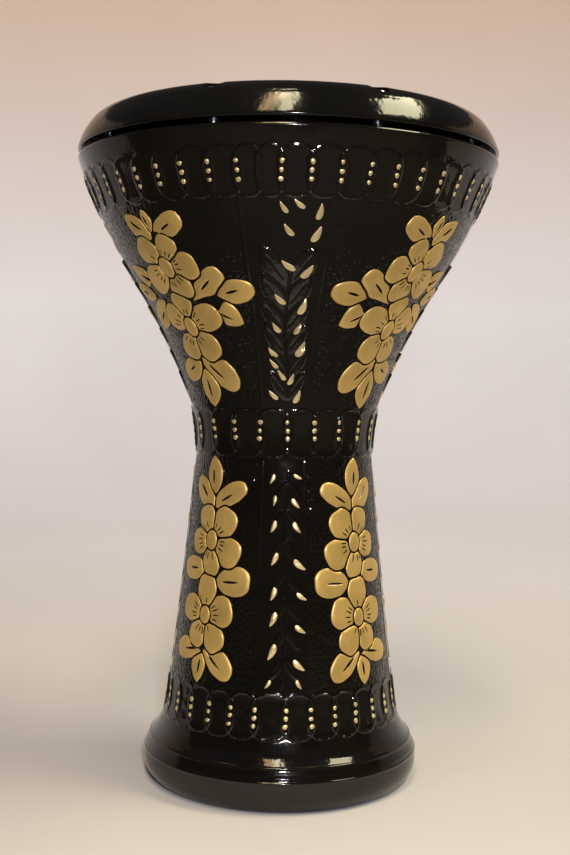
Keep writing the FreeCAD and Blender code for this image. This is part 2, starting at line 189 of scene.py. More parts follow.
# Gold teardrops on a plain panel: x, height, lean (above 0, its point leans to the right), length.
BOWL_DROPS = (
    (-2, 362, -35, 8), (7, 364, -50, 8), (18.5, 360, 15, 10), (1, 350, -38, 9), (17, 348, 30, 11),
    (1, 331, -52, 10), (12, 328, 40, 11), (-3.5, 312, -45, 9), (9.5, 308, 22, 11),
    (-5.5, 295.5, -38, 8), (7, 295, 30, 8), (-7.5, 281, -45, 8), (9, 283, 28, 11),
    (-7, 274, -42, 8), (-2, 267, -35, 8), (3.5, 264.5, 25, 8), (-7, 254.5, -45, 8),
    (7.5, 253.5, 25, 9),
)
NECK_DROPS = (
    (-7, 202, 205, 6.5), (-5.5, 188.5, 190, 6.5), (-6, 172.5, 202, 8), (-5, 152.5, 205, 8.5),
    (-5.5, 131, 200, 8.5), (-5.5, 115.5, 202, 9.5), (-6, 95.5, 205, 10.5), (-8, 76, 215, 6),
    (9, 203.5, 118, 6), (8, 187, 140, 7.5), (9, 172, 145, 8), (11, 149, 130, 9.5),
    (12.5, 129.5, 125, 7.5), (12, 109.5, 125, 8), (11.5, 87.5, 132, 9.5), (11.5, 76, 150, 6.5),
)

COLUMNS = 1080
ROW_STEP = 0.8


# ---------------------------------------------------------------- outlines

def arc_points(start, end, radius, side, step):
    """Points from start up to but not including end, along a line or an arc."""
    start = np.array(start, float)
    end = np.array(end, float)
    chord = end - start
    length = math.hypot(*chord)
    if not radius:
        share = np.arange(max(1, round(length / step))) / max(1, round(length / step))
        return start + share[:, None] * chord
    across = np.array((-chord[1], chord[0])) / length
    centre = start + chord / 2 + across * math.sqrt(radius ** 2 - (length / 2) ** 2) * side
    first = math.atan2(start[1] - centre[1], start[0] - centre[0])
    last = math.atan2(end[1] - centre[1], end[0] - centre[0])
    sweep = (last - first + math.pi) % math.tau - math.pi
    count = max(2, round(abs(sweep) * radius / step))
    turn = first + sweep * np.arange(count) / count
    return centre + radius * np.stack((np.cos(turn), np.sin(turn)), -1)


def outline_points(corners, step, closed=False):
    """The outline's points, about a step apart."""
    following = corners[1:] + (corners[:1] if closed else ())
    runs = [arc_points(a[:2], b[:2], a[2], a[3], step) for a, b in zip(corners, following)]
    if not closed:
        runs.append(np.array([corners[-1][:2]], float))
    return np.concatenate(runs)


FINE = outline_points(OUTSIDE, 0.1)
FINE_S = np.concatenate(([0.0], np.cumsum(np.hypot(*np.diff(FINE, axis=0).T))))
FINE_SLOPE = np.gradient(FINE, FINE_S, axis=0)


def radius_at(height):
    """The shell's outside radius at a height."""
    return np.interp(height, FINE[:, 1], FINE[:, 0])


def slant_at(height):
    """Distance along the outline from the foot's edge to a height."""
    return np.interp(height, FINE[:, 1], FINE_S)


def height_at(slant):
    """Height of a point at a distance along the outline."""
    return np.interp(slant, FINE_S, FINE[:, 1])


def on_shell(angle, slant, lift):
    """Points on the drum's outside, in metres: angle in radians, distance up it, lift off it."""
    radius = np.interp(slant, FINE_S, FINE[:, 0])
    height = np.interp(slant, FINE_S, FINE[:, 1])
    across = np.interp(slant, FINE_S, FINE_SLOPE[:, 0])
    up = np.interp(slant, FINE_S, FINE_SLOPE[:, 1])
    size = np.hypot(across, up)
    radius = radius + lift * up / size
    height = height - lift * across / size
    return np.stack((radius * np.sin(angle), -radius * np.cos(angle), height), -1) * MM


# ---------------------------------------------------------------- relief of the casting

def hashed(i, j, salt):
    """Repeatable scattered values from 0 to 1 for whole numbers i and j."""
    value = np.sin(i * 127.1 + j * 311.7 + salt * 74.7) * 43758.5453
    return value - np.floor(value)


def smooth(low, high, value):
    """0 below low, 1 above high, and a smooth change between them."""
    share = np.clip((value - low) / (high - low), 0, 1)
    return share * share * (3 - 2 * share)


def pebbles(x, y, cell):
    """Rounded pebbles from 0 to 1, about one cell apart."""
    column = np.floor(x / cell)
    row = np.floor(y / cell)
    height = np.zeros(x.shape)
    for across in (-1, 0, 1):
        for up in (-1, 0, 1):
            i = column + across
            j = row + up
            middle_x = (i + 0.5 + 0.7 * (hashed(i, j, 1) - 0.5)) * cell
            middle_y = (j + 0.5 + 0.7 * (hashed(i, j, 2) - 0.5)) * cell
            reach = cell * (0.33 + 0.17 * hashed(i, j, 3))
            away = np.hypot(x - middle_x, y - middle_y) / reach
            height = np.maximum(height, (0.55 + 0.45 * hashed(i, j, 4)) * (1 - away ** 2))
    return height


def wave(x, y, scale, seed):
    """Soft uneven waves from -1 to 1, about a scale long."""
    total = np.zeros(np.broadcast(x, y).shape)
    for k in range(4):
        turn = 2.4 * k + seed
        along = x * math.cos(turn) + y * math.sin(turn)
        total += np.sin(along * math.tau / (scale * (0.8 + 0.35 * k)) + 1.7 * k + seed)
    return total / 4


def band_cells(angle, band):
    """Where an angle lies among a band's ovals: its share of the way to the next, and the pitch."""
    _, _, columns, first, seam, seam_ovals, _, _ = band
    pitch = (360.0 - seam) / (columns - 1)
    seam_pitch = seam / seam_ovals
    past = (angle - first) % 360.0
    before_seam = past < 360.0 - seam
    share = np.where(before_seam, past / pitch, (past - 360.0 + seam) / seam_pitch) % 1.0
    return share, np.where(before_seam, pitch, seam_pitch)


def oval_edge(x, y, half_width, half_height):
    """Roughly the distance inside a long rounded oval's edge, and negative outside it."""
    away = ((np.abs(x) / half_width) ** 2.6 + (np.abs(y) / half_height) ** 2.6) ** 0.385
    return (1 - away) * 12.0


def band_parts(angle, height, band):
    """For a decorated band of overlapping ovals: its raised relief, and 1 inside its edge."""
    middle, half = band[0:2]
    share, pitch = band_cells(angle, band)
    width = np.radians(pitch) * radius_at(middle)
    off = np.minimum(share, 1 - share) * width
    y = slant_at(height) - slant_at(middle)
    own = oval_edge(0.5 * width - off, y, 0.66 * width, half)
    other = oval_edge(0.5 * width + off, y, 0.66 * width, half)
    inside = smooth(-0.35, 0.35, own)
    lens = smooth(-0.5, 0.5, other)
    outline = np.clip(1 - ((own - 0.6) / 0.6) ** 2, 0, 1)
    outline = np.maximum(outline, inside * np.clip(1 - ((other - 0.2) / 0.6) ** 2, 0, 1))
    dish = smooth(1.6, 3.4, own) * smooth(-0.9, -2.2, other)
    relief = inside * (0.25 + (BAND_RISE - 0.25) * lens) + 0.42 * outline - 0.2 * dish
    relief += 0.08 * inside * wave(radius_at(middle) * np.radians(angle), height, 9.0, 1.0)
    return relief, inside


def leaf_relief(x, y, base, tip, half_width, plump=0.5, lean=0.0):
    """A raised leaf between two points, from 0 to 1: flatter if plump is low, rising to its tip by
    its lean.
    """
    axis = np.array(tip, float) - np.array(base, float)
    length = math.hypot(*axis)
    axis /= length
    along = ((x - base[0]) * axis[0] + (y - base[1]) * axis[1]) / length
    aside = (x - base[0]) * -axis[1] + (y - base[1]) * axis[0]
    share = np.clip(along, 0.001, 0.999)
    width = half_width * np.sqrt(np.sin(math.pi * share ** 0.8)) + 0.01
    body = np.clip(1 - (aside / width) ** 2, 0, 1) * ((along > 0) & (along < 1))
    vein = np.clip(1 - (aside / 0.7) ** 2, 0, 1)
    vein = vein * smooth(0.15, 0.3, along) * smooth(0.9, 0.7, along)
    return body ** plump * (1 - 0.45 * vein) * (1 - lean * (1 - share))


def fern_relief(x, height):
    """The cast plant on a plain panel of the bowl: broad flat leaves that merge into one shape."""
    y = slant_at(height)
    sway = 2.2 * np.sin(height / 17.0) * smooth(262, 300, height)
    middle = 4.0 + 6.5 * smooth(262, 312, height)
    trunk = np.clip(1 - ((x - 1.0 - sway) / middle) ** 2, 0, 1) ** 0.25
    relief = 0.6 * trunk * smooth(250, 255, height) * smooth(338, 330, height)
    for index in range(6):
        foot_height = 252.0 + 13.5 * index
        root = (1.5 + 2.2 * math.sin(foot_height / 17.0) * (index > 1), slant_at(foot_height))
        reach = 10.5 + 1.0 * index
        size = 3.6 + 0.75 * index
        for side in (-1, 1):
            tip = (root[0] + side * reach, root[1] + 18.0 + 1.2 * index)
            relief = np.maximum(relief, 1.5 * leaf_relief(x, y, root, tip, size, 0.28, 0.62))
    slit = np.clip(1 - ((x - 1.5 - sway) / 0.8) ** 2, 0, 1) * smooth(262, 270, height)
    return relief * (1 - 0.4 * slit * smooth(334, 326, height))


def sprig_relief(x, height):
    """The cast plant on a plain panel of the neck: a wavy stem with leaves drooping from it."""
    y = slant_at(height)
    stem_x = 2.0 + 1.3 * np.sin(height / 15.0)
    stem = np.clip(1 - ((x - stem_x) / 0.9) ** 2, 0, 1)
    relief = 0.5 * stem * smooth(72, 76, height) * smooth(208, 204, height)
    for index in range(7):
        foot_height = 92.0 + 18.0 * index
        root = (2.0 + 1.3 * math.sin(foot_height / 15.0), slant_at(foot_height))
        for side in (-1, 1):
            tip = (root[0] + side * 8.5, root[1] - 13.0)
            relief = np.maximum(relief, 0.45 * leaf_relief(x, y, root, tip, 2.8))
    return relief


def foot_relief(height):
    """The foot's fuller shoulder and the thin beads round it, which catch lines of light."""
    relief = 1.0 * np.exp(-((height - 37.5) / 7.5) ** 2)
    for crest in FOOT_BEADS:
        relief += 0.6 * np.exp(-((height - crest) / 0.8) ** 2)
    return relief


def relief_at(angle, slant):
    """How far the casting stands out, in millimetres, at an angle in radians and a slant."""
    degrees = (np.degrees(angle) + 180.0) % 360.0 - 180.0
    height = height_at(slant)
    radius = radius_at(height)
    panel = np.round(degrees / 90.0) * 90.0
    from_panel = degrees - panel
    x = np.radians(from_panel) * radius
    spray_x = np.radians(np.abs(from_panel) - 45.0) * radius * np.sign(from_panel + 1e-9)
    on_bowl = smooth(247, 249, height) * smooth(396, 394, height)
    on_neck = smooth(68, 71, height) * smooth(215, 212, height)
    banded = np.zeros(np.broadcast(degrees, height).shape)
    relief = np.zeros_like(banded)
    for band in BANDS.values():
        part, inside = band_parts(degrees, height, band)
        relief = relief + part
        banded = np.maximum(banded, inside)
    clear = 1 - banded
    aside = np.abs(from_panel) - PANEL_HALF
    stipple = smooth(0.0, 1.2, aside) * clear * np.maximum(on_bowl, on_neck)
    grain = pebbles(spray_x, slant + 3.1 * panel, 2.5)
    relief = relief + stipple * (0.42 * grain + 0.1 * wave(spray_x, slant, 14.0, 2.0) - 0.1)
    edge_ridge = np.clip(1 - (np.radians(aside) * radius / 1.1) ** 2, 0, 1)
    relief = relief + 0.3 * edge_ridge * clear * np.maximum(on_bowl, on_neck)
    plain = smooth(0.0, -2.0, aside) * clear
    relief = relief + plain * on_bowl * fern_relief(x, height)
    relief = relief + plain * on_neck * sprig_relief(x, height)
    return relief


# ---------------------------------------------------------------- meshes

def put(name, data):
    """A new object in the scene, with a mesh, light or camera."""
    made = bpy.data.objects.new(name, data)
    bpy.context.scene.collection.objects.link(made)
    return made


def make_object(name, points, faces, material_ids=None, materials=(), sharp=None):
    """A smooth-shaded object from points in metres and faces."""
    mesh = bpy.data.meshes.new(name)
    mesh.from_pydata([tuple(p) for p in points], [], faces)
    for material in materials:
        mesh.materials.append(material)
    if material_ids is not None:
        mesh.polygons.foreach_set("material_index", np.asarray(material_ids, np.int32))
    mesh.polygons.foreach_set("use_smooth", np.ones(len(mesh.polygons), bool))
    mesh.update()
    if sharp:
        mesh.set_sharp_from_angle(angle=math.radians(sharp))
    return put(name, mesh)


def grid_faces(rows, columns, wrap_rows, wrap_columns):
    """Faces of a grid of points stored row after row."""
    row = np.arange(rows if wrap_rows else rows - 1)[:, None]
    column = np.arange(columns if wrap_columns else columns - 1)[None]
    up = (row + 1) % rows
    right = (column + 1) % columns
    corners = (row * columns + column, row * columns + right,
               up * columns + right, up * columns + column)
    return np.stack(np.broadcast_arrays(*corners), -1).reshape(-1, 4)


def turned(section, columns):
    """A section of (radius, height) points turned about the drum's axis, in metres."""
    section = np.asarray(section, float)
    turn = np.arange(columns) * math.tau / columns
    radius = section[:, 0][:, None]
    height = np.broadcast_to(section[:, 1][:, None], (len(section), columns))
    return np.stack((radius * np.sin(turn), -radius * np.cos(turn), height), -1) * MM


def lathe(name, section, columns, materials, closed=True, sharp=35, move=None):
    """An object turned from a section about the drum's axis, and moved if it has a place."""
    points = turned(section, columns).reshape(-1, 3)
    faces = grid_faces(len(section), columns, closed, True)
    made = make_object(name, points, faces.tolist(), None, materials, sharp)
    if move is not None:
        made.data.transform(Matrix.Translation(move))
    return made


def bolt_place(index):
    """Where a bolt's axis is on the bolt circle, in metres."""
    angle = math.radians(BOLT_PHASE - 90.0 + index * 360.0 / BOLTS)
    return Vector((math.cos(angle), math.sin(angle), 0)) * BOLT_CIRCLE * MM


def cut_holes(target, radius, low, high, segments=48):
    """Cuts a round hole at every bolt between two heights in millimetres."""
    tool_mesh = bmesh.new()
    for index in range(BOLTS):
        place = bolt_place(index)
        place.z = (low + high) / 2 * MM
        bmesh.ops.create_cone(tool_mesh, cap_ends=True, segments=segments, radius1=radius * MM,
                              radius2=radius * MM, depth=(high - low) * MM,
                              matrix=Matrix.Translation(place))
    data = bpy.data.meshes.new("hole_tool")
    tool_mesh.to_mesh(data)
    tool_mesh.free()
    tool = put("hole_tool", data)
    cut = target.modifiers.new("holes", "BOOLEAN")
    cut.operation = "DIFFERENCE"
    cut.solver = "EXACT"
    cut.object = tool
    apply_modifiers(target)
    bpy.data.objects.remove(tool)


def apply_modifiers(target):
    """Replaces an object's mesh by what its modifiers make of it."""
    graph = bpy.context.evaluated_depsgraph_get()
    result = bpy.data.meshes.new_from_object(target.evaluated_get(graph))
    target.modifiers.clear()
    target.data = result


def finish_piece(piece, body, stands_for=()):
    """Lets a piece ride on its body, in place of CAD nodes."""
    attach(piece, body)
    if stands_for:
        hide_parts(*stands_for)


# ---------------------------------------------------------------- materials

def new_material(name, colour, roughness, metallic=0.0):
    """A material with its shader, node tree and a coordinate node in object space."""
    material = bpy.data.materials.new(name)
    material.use_nodes = True
    tree = material.node_tree
    shader = tree.nodes["Principled BSDF"]
    shader.inputs["Base Color"].default_value = (*colour, 1)
    shader.inputs["Roughness"].default_value = roughness
    shader.inputs["Metallic"].default_value = metallic
    place = tree.nodes.new("ShaderNodeTexCoord")
    return material, tree, shader, place.outputs["Object"]


def add_node(tree, kind, inputs):
    """A node whose inputs are set to numbers or linked to other nodes' outputs."""
    node = tree.nodes.new("ShaderNode" + kind)
    for socket, value in inputs.items():
        if isinstance(value, bpy.types.NodeSocket):
            tree.links.new(value, node.inputs[socket])
        else:
            node.inputs[socket].default_value = value
    return node


def noise(tree, place, scale, detail=4.0, rough=0.55):
    """A noise texture's value, at a scale per metre."""
    inputs = {"Vector": place, "Scale": scale, "Detail": detail, "Roughness": rough}
    return add_node(tree, "TexNoise", inputs).outputs["Fac"]


def ramp(tree, value, stops):
    """A colour ramp: stops are (position, colour)."""
    node = add_node(tree, "ValToRGB", {"Fac": value})
    while len(node.color_ramp.elements) < len(stops):
        node.color_ramp.elements.new(0.5)
    for element, (position, colour) in zip(node.color_ramp.elements, stops):
        element.position = position
        element.color = (*colour, 1)
    return node.outputs["Color"]


def spread(tree, value, low, high, start=0.3, end=0.7):
    """Maps a value between start and end to between low and high."""
    inputs = {"Value": value, "From Min": start, "From Max": end, "To Min": low, "To Max": high}
    return add_node(tree, "MapRange", inputs).outputs["Result"]


def calculate(tree, operation, *values):
    """The result of a math node on values that are numbers or other nodes' outputs."""
    node = add_node(tree, "Math", dict(enumerate(values)))
    node.operation = operation
    return node.outputs["Value"]


def multiply(tree, first, second):
    """The product of two colours."""
    node = add_node(tree, "VectorMath", {0: first, 1: second})
    node.operation = "MULTIPLY"
    return node.outputs["Vector"]


def tint(tree, shader, value, stops):
    """Colours a shader by a value: stops are (position, colour)."""
    tree.links.new(ramp(tree, value, stops), shader.inputs["Base Color"])


def roughen(tree, shader, value, low, high):
    """Varies a shader's roughness with a value."""
    tree.links.new(spread(tree, value, low, high), shader.inputs["Roughness"])


def bump(tree, shader, value, strength, distance, after=None):
    """Adds a bump to a shader, on top of an earlier one if there is one."""
    inputs = {"Strength": strength, "Distance": distance, "Height": value}
    if after is not None:
        inputs["Normal"] = after
    normal = add_node(tree, "Bump", inputs).outputs["Normal"]
    tree.links.new(normal, shader.inputs["Normal"])
    return normal


def black_enamel():
    """Deep glossy black lacquer: slight orange peel, faint dust and handling marks."""
    material, tree, shader, place = new_material("black_enamel", (0.004, 0.0038, 0.0035), 0.1)
    clouds = noise(tree, place, 14.0, 5.0)
    tint(tree, shader, clouds, ((0.3, (0.0022, 0.002, 0.0019)), (0.7, (0.0055, 0.005, 0.0042))))
    smears = noise(tree, place, 42.0, 8.0, 0.7)
    roughen(tree, shader, smears, 0.04, 0.14)
    peel = noise(tree, place, 420.0, 2.0, 0.4)
    first = bump(tree, shader, peel, 0.12, 0.0004)
    lumps = noise(tree, place, 90.0, 3.0, 0.5)
    bump(tree, shader, lumps, 0.16, 0.0012, first)
    shader.inputs["IOR"].default_value = 1.5
    return material


def gold_paint(name, middle, metallic):
    """Hand-brushed satin gold paint: uneven colour, fine metal grain, soft brush ridges."""
    material, tree, shader, place = new_material(name, middle, 0.4, metallic)
    patches = noise(tree, place, 55.0, 4.0)
    dark = [0.8 * c for c in middle]
    light = [min(1.0, 1.18 * c) for c in middle]
    tint(tree, shader, patches, ((0.28, dark), (0.5, middle), (0.75, light)))
    flakes = noise(tree, place, 2600.0, 2.0)
    roughen(tree, shader, flakes, 0.3, 0.5)
    first = bump(tree, shader, flakes, 0.12, 0.00008)
    brush = noise(tree, place, 260.0, 3.0)
    bump(tree, shader, brush, 0.2, 0.0003, first)
    return material


def cast_aluminium():
    """Sand-cast aluminium inside the shell: grey, grainy, with dull flow marks."""
    material, tree, shader, place = new_material("cast_aluminium", (0.36, 0.36, 0.35), 0.55, 0.8)
    flow = noise(tree, place, 22.0, 6.0)
    tint(tree, shader, flow, ((0.3, (0.23, 0.228, 0.22)), (0.7, (0.42, 0.42, 0.41))))
    grain = noise(tree, place, 900.0, 3.0, 0.7)
    roughen(tree, shader, grain, 0.42, 0.7)
    first = bump(tree, shader, grain, 0.5, 0.0004)
    bump(tree, shader, flow, 0.4, 0.002, first)
    return material


def turned_aluminium():
    """Rolled aluminium of the head's hoop: fine lines along it."""
    material, tree, shader, place = new_material("hoop_aluminium", (0.7, 0.7, 0.7), 0.3, 1.0)
    stretch = add_node(tree, "Mapping", {"Vector": place, "Scale": (0.06, 0.06, 6.0)})
    lines = noise(tree, stretch.outputs["Vector"], 420.0, 5.0)
    tint(tree, shader, lines, ((0.3, (0.55, 0.55, 0.56)), (0.7, (0.78, 0.78, 0.78))))
    roughen(tree, shader, lines, 0.22, 0.42)
    bump(tree, shader, lines, 0.25, 0.0002)
    return material


def zinc_steel():
    """Bright zinc-plated steel: faintly mottled, with oily traces."""
    material, tree, shader, place = new_material("zinc_steel", (0.62, 0.63, 0.65), 0.24, 1.0)
    mottle = noise(tree, place, 380.0, 5.0)
    tint(tree, shader, mottle, ((0.3, (0.55, 0.58, 0.62)), (0.72, (0.85, 0.87, 0.9))))
    roughen(tree, shader, mottle, 0.16, 0.36)
    bump(tree, shader, mottle, 0.15, 0.0001)
    return material


def head_plastic():
    """Milky polyester film, satin on top, with faint playing marks."""
    material, tree, shader, place = new_material("head_plastic", (0.78, 0.77, 0.73), 0.3)
    haze = noise(tree, place, 16.0, 4.0)
    tint(tree, shader, haze, ((0.3, (0.73, 0.69, 0.69)), (0.7, (0.85, 0.81, 0.81))))
    marks = noise(tree, place, 130.0, 8.0, 0.75)
    roughen(tree, shader, marks, 0.2, 0.42)
    frost = noise(tree, place, 3200.0, 2.0)
    bump(tree, shader, frost, 0.1, 0.00005)
    shader.inputs["IOR"].default_value = 1.58
    shader.inputs["Subsurface Weight"].default_value = 0.25
    shader.inputs["Subsurface Scale"].default_value = 0.0005
    return material


# ---------------------------------------------------------------- shell, rim and ring

def make_shell(materials):
    """The casting: relief outside, plain inside, in one closed skin."""
    decorated = np.arange(slant_at(FOOT_TOP), slant_at(DECORATION_TOP), ROW_STEP)
    foot = np.linspace(0.0, slant_at(FOOT_TOP), 150, endpoint=False)
    top = np.linspace(slant_at(DECORATION_TOP), FINE_S[-1], 24)
    slants = np.concatenate((foot, decorated, top))
    turn = np.arange(COLUMNS) * math.tau / COLUMNS
    angle, slant = np.meshgrid(turn, slants)
    height = height_at(slant)
    lift = relief_at(angle, slant) * smooth(FOOT_TOP, FOOT_TOP + 4, height) + foot_relief(height)
    outer = on_shell(angle, slant, lift)
    inner = turned(outline_points(INSIDE, 3.0), COLUMNS)
    points = np.concatenate((outer, inner)).reshape(-1, 3)
    rows = len(slants) + len(inner)
    faces = grid_faces(rows, COLUMNS, True, True)
    # Bare metal inside, with the enamel running a little way over both edges.
    ids = np.zeros((rows, COLUMNS), np.int32)
    ids[len(slants) + 2:rows - 4] = 1
    shell = make_object("shell_casting", points, faces.tolist(), ids.reshape(-1), materials, 55)
    finish_piece(shell, "shell_body", ("shell",))


def make_flange(materials):
    """The rim's flange and upright collar, with the bosses and their holes for the bolts."""
    section = outline_points(RIM_FLANGE, 1.2, True)
    flange = lathe("rim_flange", section[::-1], 288, materials)
    cut_holes(flange, TAPPED_RADIUS, 398.0, 409.0)
    parts = [flange]
    boss = ((TAPPED_RADIUS, 400.2), (TAPPED_RADIUS, 388.6), (3.5, 388.0), (6.4, 388.0),
            (7.0, 388.7), (7.0, 398.4), (7.6, 399.7), (8.6, 400.2))
    for index in range(BOLTS):
        parts.append(lathe("boss", boss, 36, materials, closed=False, move=bolt_place(index)))
    joined = join("rim_flange", parts)
    finish_piece(joined, "shell_body", ("shell",))


def join(name, parts):
    """Joins objects that share their materials into one mesh."""
    made = bmesh.new()
    for part in parts:
        made.from_mesh(part.data)
    mesh = bpy.data.meshes.new(name)
    made.to_mesh(mesh)
    made.free()
    for material in parts[0].data.materials:
        mesh.materials.append(material)
    for part in parts:
        bpy.data.objects.remove(part)
    mesh.set_sharp_from_angle(angle=math.radians(35))
    return put(name, mesh)


def make_ring(materials):
    """The rounded tension ring with its bolt pockets."""
    section = outline_points(RING, 0.55, True)
    ring = lathe("tension_ring_casting", section, 576, materials)
    cut_holes(ring, POCKET_RADIUS, POCKET_FLOOR, 436.0, 64)
    cut_holes(ring, CLEARANCE_RADIUS, 409.0, 423.0, 40)
    ring.data.set_sharp_from_angle(angle=math.radians(35))
    finish_piece(ring, "ring_body", ("tension_ring",))


# ---------------------------------------------------------------- screws

def make_screw(index, material):
    """A socket head cap screw: threaded shank, knurled head, hexagon socket."""
    around = 48
    turn = np.arange(around) * math.tau / around
    knurl = 4.92 + 0.08 * np.cos(turn * 24)
    hexagon = 2.5 / np.cos((turn + math.pi / 6) % (math.pi / 3) - math.pi / 6)
    rows = [(0.01, -35.0), (2.2, -35.0)]
    for z in np.arange(-34.2, -3.0, 0.125):
        phase = (z / THREAD_PITCH - turn / math.tau) % 1.0
        depth = 0.5 * np.clip(np.abs(phase - 0.5) * 2.6 - 0.3, 0, 1)
        rows.append((3.0 - depth, z))
    rows += [(2.95, -2.9), (2.95, -0.35), (3.25, -0.02), (4.7, -0.02), (knurl - 0.05, 0.25)]
    rows += [(knurl, z) for z in (0.4, 2.2, 4.2, 5.3)]
    rows += [(4.85, 5.55), (4.45, 5.98), (3.2, 6.0), (hexagon + 0.12, 6.0), (hexagon, 5.85),
             (hexagon, 3.15), (2.3, 3.0), (0.01, 2.2)]
    circles = [(r * np.cos(turn), r * np.sin(turn), np.full(around, z)) for r, z in rows]
    points = np.concatenate([np.stack(circle, -1) for circle in circles]) * MM
    faces = grid_faces(len(rows), around, False, True)
    number = index + 1
    name = "tension_screw_%d" % number
    screw = make_object(name, points, faces.tolist(), None, (material,), 30)
    place = bolt_place(index)
    place.z = HEAD_SEAT * MM
    spin = Matrix.Rotation(random.Random(index).uniform(0, 1.0), 4, "Z")
    screw.data.transform(Matrix.Translation(place) @ spin)
    finish_piece(screw, "bolt_%d_body" % number, ("tension_bolt_%d" % number,))


def make_washer(index, material):
    """A stamped flat washer: rounded on its upper edge, with a slight burr below."""
    section = ((3.2, 422.26), (3.3, 422.2), (5.9, 422.2), (6.0, 422.3), (6.0, 423.05),
               (5.85, 423.3), (5.6, 423.39), (3.45, 423.39), (3.2, 423.2))
    number = index + 1
    name = "flat_washer_%d" % number
    washer = lathe(name, section, 48, (material,), move=bolt_place(index))
    finish_piece(washer, "ring_body", ("tension_washer_%d" % number,))


# ---------------------------------------------------------------- gold flowers

PETAL_EDGE = 0.5
PETAL_TOP = 1.7
FLOWER_TOP = 1.9


def leaf_outline(piece, points=80):
    """The closed outline of a leaf or petal, in spray millimetres."""
    bx, by, tx, ty, left, right, belly, tip_shape, slit = piece
    foot_shape = 0.6 if slit else 0.4
    base = np.array((bx, by), float)
    axis = np.array((tx, ty), float) - base
    length = math.hypot(*axis)
    normal = np.array((-axis[1], axis[0])) / length
    half = points // 2
    share = (1 - np.cos(np.arange(half) * math.pi / half)) / 2
    sides = []
    for width, along in ((-right, share), (left, 1 - share)):
        low = np.clip((belly - along) / belly, 0, 1)
        high = np.clip((along - belly) / (1 - belly), 0, 1)
        shape = np.where(along < belly, (1 - low ** 2) ** foot_shape, (1 - high ** 2) ** tip_shape)
        sides.append(base + along[:, None] * axis + (width * shape)[:, None] * normal)
    outline = np.concatenate(sides)
    ripple = wave(outline[:, 0], outline[:, 1], 7.0, bx + 0.3 * by)
    middle = outline.mean(0)
    outward = (outline - middle) / np.linalg.norm(outline - middle, axis=1)[:, None]
    return outline + outward * (0.28 * ripple[:, None])


def oval_outline(flower, points=64):
    """The outline of a flower's centre."""
    x, y, wide, tall, lean, _ = flower
    turn = np.arange(points) * math.tau / points
    oval = np.stack((wide * np.cos(turn), tall * np.sin(turn)), -1)
    c, s = math.cos(math.radians(lean)), math.sin(math.radians(lean))
    return oval @ np.array(((c, s), (-s, c))) + (x, y)


def to_edge(points, outline):
    """Signed distance to an outline, negative inside it."""
    after = np.roll(outline, -1, 0)
    side = after - outline
    rel = points[:, None, :] - outline[None]
    share = np.clip((rel * side).sum(-1) / np.maximum((side * side).sum(-1), 1e-12), 0, 1)
    gap = np.linalg.norm(rel - share[..., None] * side, axis=-1).min(1)
    above = (outline[None, :, 1] > points[:, None, 1]) != (after[None, :, 1] > points[:, None, 1])
    rise = np.where(np.abs(side[:, 1]) < 1e-12, 1e-12, side[:, 1])
    crossing = side[None, :, 0] * (points[:, None, 1] - outline[None, :, 1]) / rise
    crossing = crossing + outline[None, :, 0]
    inside = (above & (points[:, None, 0] < crossing)).sum(1) % 2 == 1
    return np.where(inside, -gap, gap)


def spine_points(outline, ends):
    """For each outline point, the nearest point on the line between two ends."""
    start, end = (np.array(p, float) for p in ends)
    axis = end - start
    share = np.clip(((outline - start) @ axis) / max(axis @ axis, 1e-9), 0, 1)
    return start + share[:, None] * axis, share


def trim(outline, ends, same, higher, gap=1.1):
    """Pulls an outline in where it would meet its neighbours."""
    centre, _ = spine_points(outline, ends)
    steps = np.linspace(0.12, 1.0, 45)
    probe = centre[:, None, :] + (outline - centre)[:, None, :] * steps[None, :, None]
    flat = probe.reshape(-1, 2)
    own = to_edge(flat, outline)
    good = np.ones(len(flat), bool)
    for other in same:
        good &= to_edge(flat, other) - own >= gap
    for other in higher:
        good &= to_edge(flat, other) >= gap
    good = good.reshape(len(outline), len(steps))
    reach = steps[np.maximum(np.cumprod(good, axis=1).sum(1) - 1, 0)]
    for _ in range(2):
        reach = np.minimum(reach, (np.roll(reach, 1) + 2 * reach + np.roll(reach, -1)) / 4)
    return centre + (outline - centre) * reach[:, None]


def pillow(depth, top):
    """Height of a cast petal at a distance in from its edge."""
    share = np.clip(depth / 3.0, 0, 1)
    rise = 0.8 * np.sqrt(1 - (1 - share) ** 2) + 0.2 * np.clip(depth / 7, 0, 1)
    return PETAL_EDGE + (top - PETAL_EDGE) * rise


class Ornament:
    """Collects gold and black faces, and sets them on the drum as one object."""

    def __init__(self):
        self.flat = []
        self.faces = []
        self.ids = []
        self.count = 0

    def add(self, x, y, lift, faces, ids):
        """Adds points (x, y and lift, in millimetres) with their faces."""
        self.flat.append(np.stack((x, y, lift), -1))
        self.faces.extend((np.asarray(faces) + self.count).tolist())
        self.ids.extend(ids)
        self.count += len(x)

    def place(self, name, angle, slant, mirrored, on_relief, gold="gold"):
        """Bends the ornament round the drum, about a centre angle and a slant."""
        flat = np.concatenate(self.flat)
        x = -flat[:, 0] if mirrored else flat[:, 0]
        at_slant = slant + flat[:, 1]
        turn = math.radians(angle) + x / radius_at(height_at(at_slant))
        lift = flat[:, 2]
        if on_relief:
            lift = lift + relief_at(turn, at_slant)
        points = on_shell(turn, at_slant, lift)
        faces = [face[::-1] for face in self.faces] if mirrored else self.faces
        paints = (MATERIALS[gold], MATERIALS["black"])
        made = make_object(name, points, faces, self.ids, paints, 50)
        finish_piece(made, "shell_body")


